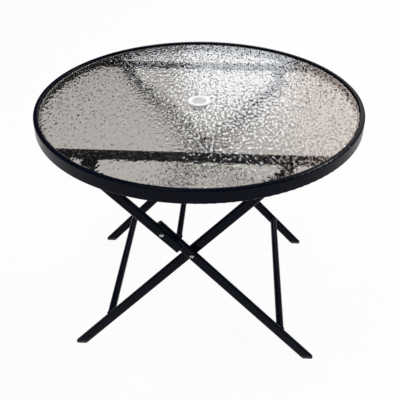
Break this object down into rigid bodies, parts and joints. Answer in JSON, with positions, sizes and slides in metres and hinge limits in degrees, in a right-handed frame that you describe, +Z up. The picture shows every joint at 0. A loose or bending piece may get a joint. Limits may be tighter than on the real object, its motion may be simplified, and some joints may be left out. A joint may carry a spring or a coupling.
{
  "type": "umbrella table",
  "caption": "Round folding garden table: rippled glass in a steel rim, a parasol ring at the centre, and crossed legs with a locking cross tube that fold flat under the top.",
  "frame": {"origin": "the point of the ground under the centre of the top, midway between the front and rear legs", "axes": "+Z up through the parasol hole; X along the crossbars, with the link brackets on -X and the leg brackets on +X; -Y is the front, as in the picture"},
  "size_m": [0.904, 0.904, 0.715],
  "materials": {
    "powder_coat": "satin black powder coat on steel tube",
    "rippled_glass": "tempered float glass, water ripple pressed into the underside",
    "white_plastic": "moulded white polypropylene",
    "clear_vinyl": "milky clear vinyl strip",
    "soft_vinyl": "soft black vinyl",
    "black_plastic": "moulded black polyethylene",
    "black_nylon": "turned black nylon",
    "zinc_steel": "bright zinc plate"
  },
  "bodies": {
    "table_top": {"rim_ring": "powder_coat", "glass_gasket": "clear_vinyl", "glass_top": "rippled_glass", "umbrella_ring": "white_plastic", "front_crossbar": "powder_coat", "rear_crossbar": "powder_coat", "crossbar_pads": "soft_vinyl", "front_link_bracket": "powder_coat", "rear_link_bracket": "powder_coat", "link_pivot_bolts": "zinc_steel", "link_pivot_nuts": "zinc_steel", "link_pivot_washers": "black_nylon", "front_leg_bracket": "powder_coat", "rear_leg_bracket": "powder_coat", "leg_bracket_bolts": "zinc_steel"},
    "link_frame": {"front_link": "powder_coat", "rear_link": "powder_coat", "link_top_plugs": "black_plastic", "link_tail_plugs": "black_plastic", "front_lock_tab": "powder_coat", "rear_lock_tab": "powder_coat", "lock_tube": "powder_coat", "knee_bolts": "zinc_steel", "knee_nuts": "zinc_steel", "knee_spacers": "black_nylon"},
    "outer_frame": {"front_outer_leg": "powder_coat", "rear_outer_leg": "powder_coat", "front_outer_foot": "black_plastic", "rear_outer_foot": "black_plastic", "outer_leg_plugs": "black_plastic", "outer_stretcher": "powder_coat", "crossing_bolts": "zinc_steel", "crossing_nuts": "zinc_steel", "crossing_spacers": "black_nylon"},
    "inner_frame": {"front_inner_leg": "powder_coat", "rear_inner_leg": "powder_coat", "front_inner_foot": "black_plastic", "rear_inner_foot": "black_plastic", "inner_leg_plugs": "black_plastic", "inner_stretcher": "powder_coat", "leg_pivot_shanks": "zinc_steel", "leg_pivot_nuts": "zinc_steel", "leg_pivot_spacers": "black_nylon"}
  },
  "joints": [
    {"name": "link_fold", "type": "hinge", "parent": "table_top", "child": "link_frame", "pos_m": [-0.247, 0, 0.65], "axis": [0, -1, 0], "range_deg": [0, 44.47]},
    {"name": "knee_fold", "type": "hinge", "parent": "link_frame", "child": "outer_frame", "pos_m": [-0.07919, 0, 0.47328], "axis": [0, 1, 0], "range_deg": [0, 169.36]},
    {"name": "crossing_fold", "type": "hinge", "parent": "outer_frame", "child": "inner_frame", "pos_m": [-0.00215, 0, 0.38777], "axis": [0, -1, 0], "range_deg": [0, 80.78]}
  ],
  "couplings": [
    {"joint": "knee_fold", "follows": "link_fold", "ratio": 3.8087},
    {"joint": "crossing_fold", "follows": "link_fold", "ratio": 1.8166}
  ]
}
